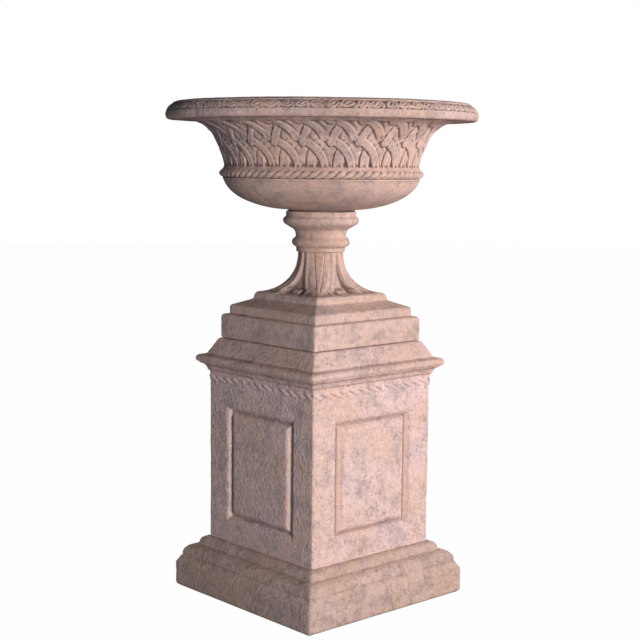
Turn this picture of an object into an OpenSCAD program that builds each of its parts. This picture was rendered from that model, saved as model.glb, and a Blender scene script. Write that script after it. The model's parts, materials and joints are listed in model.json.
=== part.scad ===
// Garden tazza urn on a square panelled pedestal, cast in reconstituted stone.
// The pedestal is three hollow castings dry-stacked on dowels: base, die and cap.
// The urn is a bowl and a socle, clamped together by a threaded drain tube.
// Millimetres, +Z up, origin at the centre of the footprint on the ground.

/* [Pedestal base] */
// Height of the square plinth block that stands on the ground
plinth_h = 66; // [40:1:110]
// How far the plinth block stands out past the mouldings above it
plinth_step = 11.5; // [4:1:30]
// Rounding of the plinth block's arrises
plinth_arris = 5; // [2:0.5:8]
// Height of the sloping weathering above the plinth block
weathering_h = 12; // [6:1:25]
// Height and width of the large round of the base moulding
base_round_h = 27; // [15:1:50]
// Width of the large round
base_round_w = 29; // [15:1:50]
// Height of the fillet between the two rounds
base_fillet_h = 5; // [2:1:12]
// Height of the small round under the die
base_bead_h = 17; // [8:1:30]
// Width of the small round under the die
base_bead_w = 19; // [8:1:30]

/* [Pedestal die] */
// Width of the die across its faces
die_w = 390; // [320:1:470]
// Height of the die from the base to the cap
die_h = 426; // [340:1:520]
// Wall of the die
die_wall = 40; // [32:0.5:52]
// How far the hollows of the base and cap are set in from the die's, as a bed for its wall
hollow_lip = 4.5; // [2:0.5:12]
// Height of the plain fascia at the top of the die
fascia_h = 10; // [6:1:20]
// How far the fascia stands out from the die
fascia_step = 2.5; // [1:0.5:6]
// Height of the rope moulding under the fascia
rope_h = 17; // [10:1:26]
// How far the rope moulding stands out from the die
rope_step = 3.5; // [2:0.5:8]
// Width of plain die left at each side of a sunk panel
panel_margin_side = 70.5; // [50:0.5:100]
// Plain die left below a sunk panel
panel_margin_bottom = 55; // [30:1:90]
// Plain die left between a sunk panel and the rope moulding
panel_margin_top = 57; // [30:1:90]
// Width of each of the two slopes of the panel's sunk border
panel_slope_w = 10.5; // [6:1:20]
// Width of the flat at the bottom of the sunk border
panel_quirk_w = 4; // [1:0.5:6]
// Depth of the panel's sunk border
panel_depth = 9.5; // [3:0.5:12]

/* [Pedestal cap] */
// How far the cap's bottom bed stands out past the die
cap_bed_step = 5.5; // [2:0.5:12]
// Height of the splay under the cap's nose
cap_under_h = 20; // [12:1:35]
// How far the nose stands out past the bottom bed
cap_nose_out = 22; // [12:1:35]
// Height of the rounded nose
cap_nose_h = 22; // [16:1:35]
// Height of the sloping top above the nose
cap_slope_h = 38; // [20:1:60]
// Ledge of the cap's top past the urn's foot
cap_ledge = 0.8; // [0.4:0.2:10]
// Depth of the hollow under the cap
cap_hollow_h = 25; // [10:1:40]
// Diameter of the drain hole through the cap
cap_drain_d = 40; // [25:1:80]

/* [Dowels] */
// Diameter of the dowels between the pedestal castings
dowel_d = 12; // [8:1:16]
// Length of the dowels
dowel_l = 60; // [40:1:80]
// Gap round a dowel in its socket
dowel_gap = 1; // [0.5:0.1:2]

/* [Urn socle] */
// Width of the square foot
foot_w = 352.4; // [290:0.2:430]
// Height of the plain slab of the foot
foot_slab_h = 61; // [40:1:90]
// Rounding of the slab's top arris
foot_arris = 8; // [3:1:12]
// How far the second step is set in from the slab
foot_step_in = 15.2; // [6:0.2:25]
// Height of the second step
foot_step_h = 16; // [8:1:30]
// Height of the ogee above the second step
foot_ogee_h = 27; // [18:1:45]
// Width of the ogee
foot_ogee_w = 42.5; // [30:0.5:55]
// Height of the top block that carries the leaves
foot_block_h = 14; // [8:1:25]
// How far the top block's sides lean in
foot_block_in = 8.5; // [3:0.5:15]
// Diameter of the neck below its ring
neck_d = 114; // [94:1:138]
// Height of the leafed neck
neck_h = 100; // [80:1:130]
// Width of each corner leaf, across the diagonal
leaf_w = 96; // [70:1:110]
// Depth of the gaps between the leaves at the top of the neck
core_in = 4; // [2:0.5:8]
// How far the core between the leaves flares out at its foot
core_flare = 27; // [10:1:32]
// Height of the ring above the neck
ring_h = 11; // [6:1:20]
// How far the lower torus stands out past the neck
low_torus_out = 15.3; // [10:0.1:22]
// Height of the lower torus
low_torus_h = 25; // [16:1:34]
// Height of the hollow between the two toruses
scotia_h = 31.5; // [24:0.5:45]
// How far the upper torus stands out past the neck
top_torus_out = 37.7; // [28:0.1:50]
// Height of the upper torus
top_torus_h = 20; // [14:1:30]
// How far the collar under the bowl is set in from the upper torus
collar_in = 7.7; // [3:0.1:12]
// Height of the collar
collar_h = 12.5; // [6:0.5:25]
// Room round the bearing plate's corners in the recess under the foot
recess_gap = 6.5; // [4:0.5:9]
// Depth of the recess under the foot
recess_h = 61; // [52:1:80]

/* [Urn bowl] */
// Diameter over the rim
rim_d = 764; // [640:1:900]
// Thickness of the bowl's floor at the middle
floor_t = 30; // [20:1:45]
// Thickness of the bowl's wall at the waist
wall_t = 22; // [14:1:34]
// Diameter of the waist between the cable moulding and the frieze
waist_d = 480; // [420:1:560]
// Depth of the rounded belly under the cable moulding
belly_h = 85; // [60:1:110]
// Radius of the cable moulding
cable_r = 10; // [6:0.5:14]
// Height of the plain flare between the cable moulding and the frieze
waist_h = 7; // [4:1:20]
// Height of the frieze's hollow wall
frieze_h = 64; // [50:1:90]
// How far the frieze's wall leans out over its height
frieze_lean = 22.5; // [10:0.5:36]
// Height of the cove under the rim
cove_h = 43; // [26:1:55]
// Width of the cove under the rim
cove_w = 72; // [45:1:90]
// Height of the rim from its underside to its top
rim_h = 48; // [34:0.2:64]
// Height of the rim's edge roll below its widest line
rim_roll_h = 13; // [8:1:18]
// Width of the upper round of the rim
rim_round_w = 35; // [20:1:50]
// Width of the flat on top of the rim
rim_flat_w = 27; // [12:1:40]
// Gap round the tube in the hole through the bowl and socle
core_gap = 1.8; // [1:0.1:4]

/* [Tube and fittings] */
// Outside diameter of the drain tube
tube_d = 21.4; // [17:0.2:27]
// Wall of the drain tube
tube_wall = 2.7; // [2:0.1:4]
// How far the tube stands past each nut
tube_past_nut = 4; // [2:1:8]
// Thickness of the bedding ring between the bowl and the collar
bedding_t = 3; // [2:0.5:6]
// How far the bedding ring's edge is set in from the collar's
bedding_in = 4; // [2:0.5:10]
// Diameter of the rubber seal and of the washers
washer_d = 64; // [48:1:80]
// Thickness of the rubber seal
seal_t = 4; // [2:0.5:6]
// Thickness of the steel washers
washer_t = 3; // [2:0.5:5]
// Wall of the nuts round the tube, at the flats
nut_wall = 7.3; // [5:0.1:10]
// Height of the nuts
nut_h = 14; // [8:1:20]
// How far the bearing plate under the socle stands out past its washer
plate_out = 3; // [1:0.5:3]
// Thickness of the bearing plate
plate_t = 6; // [4:1:10]
// Gap round the tube in its washers and plate
tube_gap = 0.5; // [0.3:0.1:1]
// Gap between the tube and the thread of a nut
thread_gap = 0.1; // [0.05:0.05:0.2]

/* [Hidden] */

// Smoothness of true round surfaces, and points along a moulding's curve
$fn = 96;
curve_n = 8;
// Overshoot of a cut past the face it leaves
cut = 1;
// Ledge of a bed past the piece that stands on it
bed_ledge = 1.5;
// Depth and height of the quirk line cut under a moulding
quirk = 2;
quirk_h = 4;
// Spare depth at the bottom of a dowel socket
socket_spare = 1;

stone = "rosybrown";
steel = "silver";
brass = "darkkhaki";
rubber = "dimgray";

// Half widths of the square pieces and radii of the stem
die_half = die_w / 2;
base_top_half = die_half + bed_ledge;
base_bead_half = base_top_half + base_bead_w;
base_round_half = base_bead_half + quirk + base_round_w;
plinth_half = base_round_half + plinth_step;
cap_bed_half = die_half + cap_bed_step;
cap_nose_half = cap_bed_half + cap_nose_out;
die_hollow_w = die_w - 2 * die_wall;
bed_hollow_w = die_hollow_w - 2 * hollow_lip;
foot_half = foot_w / 2;
cap_top_half = foot_half + cap_ledge;
step_half = foot_half - foot_step_in;
block_half = step_half - foot_ogee_w;
block_top_half = block_half - foot_block_in;
neck_r = neck_d / 2;
low_torus_r = neck_r + low_torus_out;
top_torus_r = neck_r + top_torus_out;
collar_r = top_torus_r - collar_in;
core_hole_d = tube_d + 2 * core_gap;
plate_w = washer_d + 2 * plate_out;
recess_d = plate_w * sqrt(2) + 2 * recess_gap;

// Heights of the beds between the castings
base_h = plinth_h + weathering_h + quirk_h + base_round_h + base_fillet_h + base_bead_h;
cap_z = base_h + die_h;
cap_h = cap_under_h + cap_nose_h + quirk + cap_slope_h;
urn_z = cap_z + cap_h;
foot_h = foot_slab_h + foot_step_h + foot_ogee_h + foot_block_h;
neck_z = urn_z + foot_h;
ring_z = neck_z + neck_h;
low_torus_z = ring_z + ring_h;
scotia_z = low_torus_z + low_torus_h;
top_torus_z = scotia_z + scotia_h;
collar_z = top_torus_z + top_torus_h;
collar_top = collar_z + collar_h;
bowl_z = collar_top + bedding_t;

// Levels of the bowl, from its seat up
waist_half = waist_d / 2;
cable_z = bowl_z + belly_h + 3;
waist_z = cable_z + cable_r;
frieze_z = waist_z + waist_h;
cove_z = frieze_z + frieze_h;
rim_half = rim_d / 2;
rim_under_z = cove_z + cove_h;
rim_top = rim_under_z + rim_h;
floor_z = bowl_z + floor_t;

// Dowels stand in the middle of the die's corners
dowel_at = die_half - die_wall / 2;

// Points along an elliptical arc from angle a0 to a1
function arc(x, z, rx, rz, a0, a1, n = curve_n) =
    [for (i = [0:n]) let (a = a0 + (a1 - a0) * i / n) [x + rx * cos(a), z + rz * sin(a)]];

// Points along a curve from a to c that leaves and arrives pointing at b
function bend(a, b, c, n = curve_n) =
    [for (i = [0:n]) let (t = i / n) (1 - t) * (1 - t) * a + 2 * t * (1 - t) * b + t * t * c];

// The same outline on both sides of the middle
function both_sides(half) =
    concat(half, [for (i = [len(half) - 1:-1:0]) [-half[i][0], half[i][1]]]);

// Square piece with mitred corners, from the outline of half its width
module mitred(half) {
    reach = 4 * max([for (p = half) p[0]]);
    intersection() {
        rotate([90, 0, 0])
            linear_extrude(height = reach, center = true)
                polygon(both_sides(half));
        rotate([90, 0, 90])
            linear_extrude(height = reach, center = true)
                polygon(both_sides(half));
    }
}

// Upright square hollow between two heights
module square_hollow(w, z0, z1) {
    translate([-w / 2, -w / 2, z0])
        cube([w, w, z1 - z0]);
}

// One copy at each corner of a square
module at_corners(reach) {
    for (x = [-reach, reach], y = [-reach, reach])
        translate([x, y, 0])
            children();
}

// Sockets for the dowels, half in each of the two castings that meet at height z
module dowel_sockets(z) {
    depth = dowel_l / 2 + socket_spare;
    at_corners(dowel_at)
        translate([0, 0, z - depth])
            cylinder(d = dowel_d + 2 * dowel_gap, h = 2 * depth);
}

// Dowels standing on the bottoms of their lower sockets
module dowels(z) {
    at_corners(dowel_at)
        translate([0, 0, z - dowel_l / 2 - socket_spare])
            cylinder(d = dowel_d, h = dowel_l);
}

// Plinth block, weathering, large round, fillet and small round
function base_outline() =
    let (
        round_z = plinth_h + weathering_h + quirk_h,
        fillet_z = round_z + base_round_h,
        bead_z = fillet_z + base_fillet_h,
        a = plinth_arris
    )
    concat(
        arc(plinth_half - a, a, a, a, -90, 0, 4),
        arc(plinth_half - a, plinth_h - a, a, a, 0, 60, 4),
        [[base_round_half + quirk, plinth_h + weathering_h], [base_round_half - quirk, round_z - quirk]],
        arc(base_round_half - base_round_w, round_z, base_round_w, base_round_h, 0, 90),
        arc(base_top_half, bead_z, base_bead_w, base_bead_h, 0, 90)
    );

module pedestal_base() {
    color(stone)
        difference() {
            mitred(base_outline());
            square_hollow(bed_hollow_w, -cut, base_h + cut);
            dowel_sockets(base_h);
        }
}

module base_dowels() {
    color(steel) dowels(base_h);
}

// Plain die, rope moulding as a plain round, and fascia
function die_outline() =
    let (
        fascia_z = cap_z - fascia_h,
        rope_z = fascia_z - rope_h / 2
    )
    concat(
        [[die_half, base_h]],
        arc(die_half, rope_z, rope_step, rope_h / 2, -90, 90),
        [[die_half + fascia_step, fascia_z], [die_half + fascia_step, cap_z]]
    );

// Tapered block that is w by h at depth 0 and grows by run on every side at the depth
module panel_taper(w, h, run) {
    intersection() {
        linear_extrude(height = 2 * h + 4 * abs(run), center = true)
            polygon([
                [-w / 2, 0], [w / 2, 0],
                [w / 2 + run, panel_depth], [-w / 2 - run, panel_depth]
            ]);
        rotate([0, -90, 0])
            linear_extrude(height = 2 * w + 4 * abs(run), center = true)
                polygon([
                    [-h / 2, 0], [h / 2, 0],
                    [h / 2 + run, panel_depth], [-h / 2 - run, panel_depth]
                ]);
    }
}

// The sunk border round a panel's flat field, cut into one face
module panel_border() {
    w = die_w - 2 * panel_margin_side;
    z0 = base_h + panel_margin_bottom;
    z1 = cap_z - fascia_h - rope_h - panel_margin_top;
    h = z1 - z0;
    field = 2 * (2 * panel_slope_w + panel_quirk_w);
    translate([0, -die_half, (z0 + z1) / 2])
        difference() {
            union() {
                panel_taper(w, h, -panel_slope_w);
                translate([-w / 2, -cut, -h / 2])
                    cube([w, cut, h]);
            }
            union() {
                panel_taper(w - field, h - field, panel_slope_w);
                translate([-w / 2 + field / 2, -2 * cut, -h / 2 + field / 2])
                    cube([w - field, 2 * cut, h - field]);
            }
        }
}

module pedestal_die() {
    color(stone)
        difference() {
            mitred(die_outline());
            square_hollow(die_hollow_w, base_h - cut, cap_z + cut);
            for (turn = [0:90:270])
                rotate([0, 0, turn])
                    panel_border();
            dowel_sockets(base_h);
            dowel_sockets(cap_z);
        }
}

module cap_dowels() {
    color(steel) dowels(cap_z);
}

// Splayed underside, rounded nose, small cove and sloping top
function cap_outline() =
    let (
        nose_z = cap_z + cap_under_h,
        nose_r = cap_nose_h / 2,
        slope_z = nose_z + cap_nose_h + quirk,
        cove_w = 6,
        cove_h = 4,
        top_arris = 4
    )
    concat(
        [[cap_bed_half, cap_z], [cap_nose_half - quirk, nose_z - quirk / 2]],
        arc(cap_nose_half - nose_r, nose_z + nose_r - quirk, nose_r, nose_r, -25, 75),
        arc(cap_bed_half + cove_w, slope_z + 1, cove_w, cove_h, 250, 185, 4),
        arc(cap_top_half, urn_z - top_arris, top_arris, top_arris, 20, 90, 4)
    );

module pedestal_cap() {
    color(stone)
        difference() {
            mitred(cap_outline());
            square_hollow(bed_hollow_w, cap_z - cut, cap_z + cap_hollow_h);
            translate([0, 0, cap_z])
                cylinder(d = cap_drain_d, h = cap_h + cut);
            dowel_sockets(cap_z);
        }
}

// Slab, second step, ogee and top block of the urn's foot
function foot_outline() =
    let (
        slab_top = urn_z + foot_slab_h,
        ogee_z = slab_top + foot_step_h,
        block_z = ogee_z + foot_ogee_h,
        a = foot_arris,
        shoulder = 7,
        hollow = 6
    )
    concat(
        [[foot_half - quirk, urn_z], [foot_half, urn_z + quirk]],
        arc(foot_half - a, slab_top - a, a, a, 0, 90, 4),
        [[step_half, slab_top], [step_half, ogee_z]],
        arc(step_half - shoulder, ogee_z, shoulder, shoulder + 1, 15, 70, 4),
        arc(block_half + hollow, block_z, hollow, hollow, 240, 180, 4),
        arc(block_top_half, neck_z - foot_block_h, foot_block_in, foot_block_h, 25, 90, 4)
    );

// Side view of the neck's faces, and of the diagonals that the leaves follow
module neck_envelope() {
    face_run = block_top_half - neck_r;
    diagonal = block_top_half * sqrt(2);
    diagonal_run = diagonal - neck_r;
    flare_h = neck_h - 8;
    top = [[neck_r, ring_z]];
    intersection() {
        mitred(concat(arc(block_top_half, neck_z + flare_h, face_run, flare_h, 270, 180), top));
        rotate_extrude()
            polygon(concat(
                [[0, ring_z], [0, neck_z]],
                arc(diagonal, neck_z + flare_h, diagonal_run, flare_h, 270, 180),
                top
            ));
    }
}

// The tapering gap between two neighbouring leaves, on the face towards -Y
module leaf_gap() {
    foot_gap = block_top_half - leaf_w / sqrt(2);
    top_gap = 4;
    translate([0, -neck_r / 2, neck_z])
        rotate([90, 0, 0])
            linear_extrude(height = block_top_half)
                polygon(both_sides(concat(
                    [[foot_gap, -cut], [foot_gap, 6]],
                    arc(foot_gap, neck_h - 12, foot_gap - top_gap, neck_h - 24, 270, 180, 5)
                )));
}

// Core of the neck, which shows between the leaves, then the ring, toruses and collar
module turned_stem() {
    core_r = neck_r - core_in;
    core_h = neck_h * 0.8;
    ring_r = neck_r + 4;
    low_r = low_torus_h / 2;
    top_r = top_torus_h / 2;
    throat_r = low_torus_r - low_r + 3;
    scotia_r = 20;
    color(stone)
        rotate_extrude()
            polygon(concat(
                [[0, collar_top], [0, neck_z - cut]],
                arc(core_r + core_flare, neck_z + core_h, core_flare, core_h + cut, 270, 180),
                [[core_r, ring_z - 2], [ring_r, ring_z], [ring_r, low_torus_z]],
                arc(low_torus_r - low_r, low_torus_z + low_r, low_r, low_r, -65, 65),
                [[throat_r, scotia_z]],
                arc(throat_r + scotia_r, scotia_z + 5, scotia_r, scotia_r, 180, 134, 5),
                [[top_torus_r - top_r / 2, top_torus_z]],
                arc(top_torus_r - top_r, top_torus_z + top_r, top_r, top_r, -50, 60),
                [[collar_r, collar_z], [collar_r, collar_top]]
            ));
}

module socle() {
    difference() {
        union() {
            color(stone) mitred(foot_outline());
            color(stone)
                difference() {
                    neck_envelope();
                    for (turn = [0:90:270])
                        rotate([0, 0, turn])
                            leaf_gap();
                }
            turned_stem();
        }
        translate([0, 0, urn_z - cut])
            cylinder(d = core_hole_d, h = collar_top - urn_z + 2 * cut);
        translate([0, 0, urn_z - cut])
            cylinder(d = recess_d, h = recess_h + cut);
    }
}

// Flat ring of bedding compound that the bowl sits on
module bedding_ring() {
    color(rubber)
        translate([0, 0, collar_top])
            difference() {
                cylinder(r = collar_r - bedding_in, h = bedding_t);
                translate([0, 0, -cut])
                    cylinder(d = core_hole_d + 2 * bedding_in, h = bedding_t + 2 * cut);
            }
}

// Outside of the bowl from the middle of its seat to the top of its rim
function bowl_outside() =
    let (
        belly_in = collar_r - 12,
        belly_top = waist_half + 3,
        fillet_half = waist_half + 5,
        fillet_top = cable_z - cable_r - quirk,
        cable_half = waist_half + 2,
        flare = [cable_half + cable_r * cos(50), cable_z + cable_r * sin(50)],
        wall_mid = [waist_half + 0.3 * frieze_lean, frieze_z + frieze_h / 2],
        wall_top = [waist_half + frieze_lean, cove_z],
        cove_turn = wall_top + (wall_top - wall_mid) * cove_h / (frieze_h / 2),
        roll_w = 8,
        under_rise = 4,
        widest_z = rim_under_z + under_rise + rim_roll_h
    )
    concat(
        [[0, bowl_z]],
        arc(belly_in, bowl_z + belly_h, belly_top - belly_in, belly_h, 270, 352),
        [
            [fillet_half, fillet_top - 2.5],
            [fillet_half, fillet_top],
            [waist_half, cable_z - cable_r]
        ],
        arc(cable_half, cable_z, cable_r, cable_r, -90, 40),
        bend(flare, [waist_half + 1, waist_z + 1], [waist_half, frieze_z], 4),
        [for (p = bend([waist_half, frieze_z], wall_mid, wall_top)) if (p[1] > frieze_z + cut) p],
        [for (p = bend(wall_top, cove_turn, [wall_top[0] + cove_w, rim_under_z], 10)) if (p[1] > cove_z + cut) p],
        arc(rim_half - roll_w, widest_z, roll_w, rim_roll_h, 270, 360, 5),
        arc(rim_half - rim_round_w, widest_z, rim_round_w, rim_top - widest_z, 10, 90)
    );

// Inside of the bowl from the top of its rim down to the middle of its floor
function bowl_inside() =
    let (
        lip_half = rim_half - rim_round_w - rim_flat_w,
        lip_r = 10,
        inner_half = waist_half - wall_t,
        flare_top = rim_top - 14,
        flare_z = frieze_z + frieze_h * 0.55,
        floor_flat = washer_d / 2 + 28
    )
    concat(
        arc(lip_half, flare_top, lip_r, 14, 90, 180, 4),
        arc(lip_half - lip_r, flare_z, lip_half - lip_r - inner_half, flare_top - flare_z, 90, 180),
        arc(floor_flat, floor_z + belly_h * 0.82, inner_half - floor_flat, belly_h * 0.82, 0, -90),
        [[0, floor_z]]
    );

module bowl() {
    color(stone)
        difference() {
            rotate_extrude()
                polygon(concat(bowl_outside(), bowl_inside()));
            translate([0, 0, bowl_z - cut])
                cylinder(d = core_hole_d, h = floor_t + 2 * cut);
        }
}

// Heights of the stack of fittings above the floor and below the socle's inside ceiling
seal_top = floor_z + seal_t;
washer_top = seal_top + washer_t;
nut_top = washer_top + nut_h;
ceiling_z = urn_z + recess_h;
plate_z = ceiling_z - plate_t;
low_washer_z = plate_z - washer_t;
low_nut_z = low_washer_z - nut_h;
tube_foot = low_nut_z - tube_past_nut;
tube_top = nut_top + tube_past_nut;

module drain_tube() {
    color(brass)
        translate([0, 0, tube_foot])
            difference() {
                cylinder(d = tube_d, h = tube_top - tube_foot);
                translate([0, 0, -cut])
                    cylinder(d = tube_d - 2 * tube_wall, h = tube_top - tube_foot + 2 * cut);
            }
}

// Flat round washer that fits over the tube
module tube_washer(z, t) {
    translate([0, 0, z])
        difference() {
            cylinder(d = washer_d, h = t);
            translate([0, 0, -cut])
                cylinder(d = tube_d + 2 * tube_gap, h = t + 2 * cut);
        }
}

// Six-sided nut, bored to the tube's outside with a thread's clearance
module tube_nut(z) {
    translate([0, 0, z])
        difference() {
            cylinder(r = (tube_d / 2 + nut_wall) / cos(30), h = nut_h, $fn = 6);
            translate([0, 0, -cut])
                cylinder(d = tube_d + 2 * thread_gap, h = nut_h + 2 * cut);
        }
}

module seal_washer() {
    color(rubber) tube_washer(floor_z, seal_t);
}

module top_washer() {
    color(steel) tube_washer(seal_top, washer_t);
}

module top_nut() {
    color(brass) tube_nut(washer_top);
}

module bearing_plate() {
    color(steel)
        translate([0, 0, plate_z])
            difference() {
                translate([-plate_w / 2, -plate_w / 2, 0])
                    cube([plate_w, plate_w, plate_t]);
                translate([0, 0, -cut])
                    cylinder(d = tube_d + 2 * tube_gap, h = plate_t + 2 * cut);
            }
}

module bottom_washer() {
    color(steel) tube_washer(low_washer_z, washer_t);
}

module bottom_nut() {
    color(brass) tube_nut(low_nut_z);
}

pedestal_base();
base_dowels();
pedestal_die();
cap_dowels();
pedestal_cap();
socle();
bedding_ring();
bowl();
drain_tube();
seal_washer();
top_washer();
top_nut();
bearing_plate();
bottom_washer();
bottom_nut();
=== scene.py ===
import json
import math

import bpy
import numpy as np
from mathutils import Matrix, Vector


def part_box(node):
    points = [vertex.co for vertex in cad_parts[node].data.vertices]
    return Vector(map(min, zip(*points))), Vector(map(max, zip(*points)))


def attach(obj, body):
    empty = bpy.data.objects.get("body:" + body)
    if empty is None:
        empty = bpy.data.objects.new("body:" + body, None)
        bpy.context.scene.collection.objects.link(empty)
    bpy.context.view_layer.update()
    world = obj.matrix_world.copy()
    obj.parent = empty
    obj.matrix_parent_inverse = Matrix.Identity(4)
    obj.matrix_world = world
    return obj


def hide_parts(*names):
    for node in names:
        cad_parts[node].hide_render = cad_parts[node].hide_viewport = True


# Tazza urn on a panelled pedestal. Every piece is carved as a closed ring of rows and columns:
# rows follow the outline of its section, columns go round it, anticlockwise from above.
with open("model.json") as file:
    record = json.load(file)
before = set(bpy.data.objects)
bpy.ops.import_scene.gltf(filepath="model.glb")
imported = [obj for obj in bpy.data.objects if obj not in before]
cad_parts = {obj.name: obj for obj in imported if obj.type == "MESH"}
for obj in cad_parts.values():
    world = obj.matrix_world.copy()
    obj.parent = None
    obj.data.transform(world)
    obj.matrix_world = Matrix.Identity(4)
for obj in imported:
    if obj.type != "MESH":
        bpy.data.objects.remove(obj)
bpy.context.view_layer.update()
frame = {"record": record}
bodyOf = {}
for body, members in frame["record"]["behaviour"]["bodies"].items():
    for member in members:
        bodyOf[member] = body
print("stage 1: the packed model is loaded, with", len(bodyOf), "pieces")


def arc(x, z, rx, rz, start, end, count=8):
    angles = np.radians(np.linspace(start, end, count + 1))
    return [(x + rx * math.cos(a), z + rz * math.sin(a)) for a in angles]


def swoop(start, turn, end, count=8):
    # curve that leaves the start towards the turning point and reaches the end coming from it
    t = np.linspace(0, 1, count + 1)[:, None]
    line = (1 - t) ** 2 * np.array(start) + 2 * t * (1 - t) * np.array(turn) + t * t * np.array(end)
    return [tuple(point) for point in line]


def soften(points, radius, count=3, leastTurn=25):
    # rounds the arrises of an outline, as the mould and the weather do
    made = [points[0]]
    for before, here, after in zip(points, points[1:], points[2:]):
        corner = Vector(here)
        back = Vector(before) - corner
        on = Vector(after) - corner
        turn = 180 - math.degrees(back.angle(on))
        if turn < leastTurn:
            made.append(here)
            continue
        start = corner + back.normalized() * min(radius, back.length * 0.45)
        end = corner + on.normalized() * min(radius, on.length * 0.45)
        for t in np.linspace(0, 1, count + 1):
            made.append(tuple(start.lerp(corner, t).lerp(corner.lerp(end, t), t)))
    made.append(points[-1])
    return made


class Section:
    # rows of half width, height, roundness (0 square, 1 round) and how far the weather reaches
    def __init__(self):
        self.rows = []

    def lay(self, points, step, roundness=0.0, weathered=1.0):
        for half, z in points:
            here = np.array([half, z, roundness, weathered])
            if self.rows:
                last = self.rows[-1]
                gap = math.hypot(here[0] - last[0], here[1] - last[1])
                count = max(1, math.ceil(gap / step - 0.01))
                for k in range(1, count):
                    self.rows.append(last + (here - last) * k / count)
            self.rows.append(here)

    def close(self, step):
        first = self.rows[0]
        self.lay([(first[0], first[1])], step, first[2], first[3])
        self.rows.pop()
        self.rows = np.array(self.rows)


def spread(marks, step):
    # values from the first mark to the last, through every mark, no further apart than the step
    made = [marks[0]]
    for a, b in zip(marks, marks[1:]):
        count = max(1, math.ceil((b - a) / step - 0.01))
        made += [a + (b - a) * (k + 1) / count for k in range(count)]
    return made


class Columns:
    # places round a square piece, face by face, or round a turned one
    def __init__(self, half, corner, marks, step, cornerCount=3):
        flat = np.array(spread([-half + corner] + marks + [half - corner], step)) / (half - corner)
        bends = np.radians(np.linspace(0, 45, cornerCount + 1))
        across = np.concatenate([-np.ones(cornerCount), flat, np.ones(cornerCount - 1)])
        bend = np.concatenate([-bends[:0:-1], np.zeros(len(flat)), bends[1:-1]])
        self.corner = corner
        self.across = np.tile(across, 4)
        self.bend = np.tile(bend, 4)
        self.turn = np.repeat(np.arange(4), len(across)) * math.pi / 2
        x = (half - corner) * across + corner * np.sin(bend)
        y = half - corner + corner * np.cos(bend)
        self.angle = np.tile(np.arctan2(x, y), 4)
        self.count = 4 * len(across)


def turnedColumns(count):
    columns = Columns(1.0, 0.1, [], 0.5)
    columns.corner = 0.0
    for name in ("turn", "across", "bend"):
        setattr(columns, name, np.zeros(count))
    columns.angle = np.arange(count) * 2 * math.pi / count
    columns.count = count
    return columns


class Stone:
    # the grid of points of one piece, with the directions that face out of it
    def __init__(self, section, columns):
        rows = section.rows
        self.rows = rows
        self.columns = columns
        half = rows[:, 0:1]
        self.z = np.repeat(rows[:, 1:2], columns.count, axis=1)
        roundness = rows[:, 2:3]
        corner = np.minimum(columns.corner, half)
        flatX = (half - corner) * columns.across + corner * np.sin(columns.bend)
        flatY = -(half - corner) - corner * np.cos(columns.bend)
        roundX = half * np.sin(columns.angle)
        roundY = -half * np.cos(columns.angle)
        self.faceX = flatX + (roundX - flatX) * roundness
        self.faceY = flatY + (roundY - flatY) * roundness
        outX = np.sin(columns.bend) + (np.sin(columns.angle) - np.sin(columns.bend)) * roundness
        outY = -np.cos(columns.bend) + (np.cos(columns.bend) - np.cos(columns.angle)) * roundness
        size = np.hypot(outX, outY)
        steps = np.roll(rows[:, :2], -1, axis=0) - rows[:, :2]
        steps /= np.maximum(np.hypot(steps[:, 0], steps[:, 1]), 1e-9)[:, None]
        along = steps + np.roll(steps, 1, axis=0)
        along /= np.maximum(np.hypot(along[:, 0], along[:, 1]), 1e-9)[:, None]
        level = along[:, 1:2] / size
        self.out = self.turned(outX * level, outY * level, np.repeat(-along[:, 0:1], columns.count, axis=1))
        self.points = self.turned(self.faceX, self.faceY, self.z)

    def turned(self, x, y, z):
        c = np.cos(self.columns.turn)
        s = np.sin(self.columns.turn)
        return np.stack([x * c - y * s, x * s + y * c, z], axis=2)

    def push(self, amount):
        self.points = self.points + self.out * amount[..., None]

    def hollows(self, reach):
        # how far each point lies below its neighbours: above 0 in a hollow, under 0 on an arris
        soft = self.points
        for _ in range(reach):
            near = np.roll(soft, 1, 0) + np.roll(soft, -1, 0) + np.roll(soft, 1, 1) + np.roll(soft, -1, 1)
            soft = (soft + near) / 5
        sideways = np.roll(self.points, -1, 1) - np.roll(self.points, 1, 1)
        up = np.roll(self.points, -1, 0) - np.roll(self.points, 1, 0)
        face = np.cross(sideways, up)
        face /= np.maximum(np.linalg.norm(face, axis=2, keepdims=True), 1e-12)
        return ((soft - self.points) * face).sum(axis=2)


def lumps(points, size, seed):
    # smooth random heights from -1 to 1, with lumps of about that size in metres
    table = np.random.default_rng(seed).uniform(-1, 1, (32, 32, 32))
    place = points / size + 100.5
    cell = np.floor(place).astype(int)
    part = place - cell
    part = part * part * (3 - 2 * part)
    total = 0
    for i in (0, 1):
        for j in (0, 1):
            for k in (0, 1):
                share = abs(1 - np.array((i, j, k)) - part)
                corner = (cell + (i, j, k)) % 32
                heights = table[corner[..., 0], corner[..., 1], corner[..., 2]]
                total = total + share[..., 0] * share[..., 1] * share[..., 2] * heights
    return total


def smooth(value, low, high):
    t = np.clip((value - low) / (high - low), 0, 1)
    return t * t * (3 - 2 * t)


weather = {
    "waves": 0.0007, "waveSize": 0.085,      # slow unevenness of the mould
    "stipple": 0.0007, "stippleSize": 0.0110,  # orange peel of the cast face
    "pits": 0.0011, "pitSize": 0.010, "pitShare": 0.42,
    "wear": 0.0009, "chips": 0.0042, "chipSize": 0.026, "chipShare": 0.05,
    "arrisReach": 4, "arrisFull": 0.0012,
}


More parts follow.
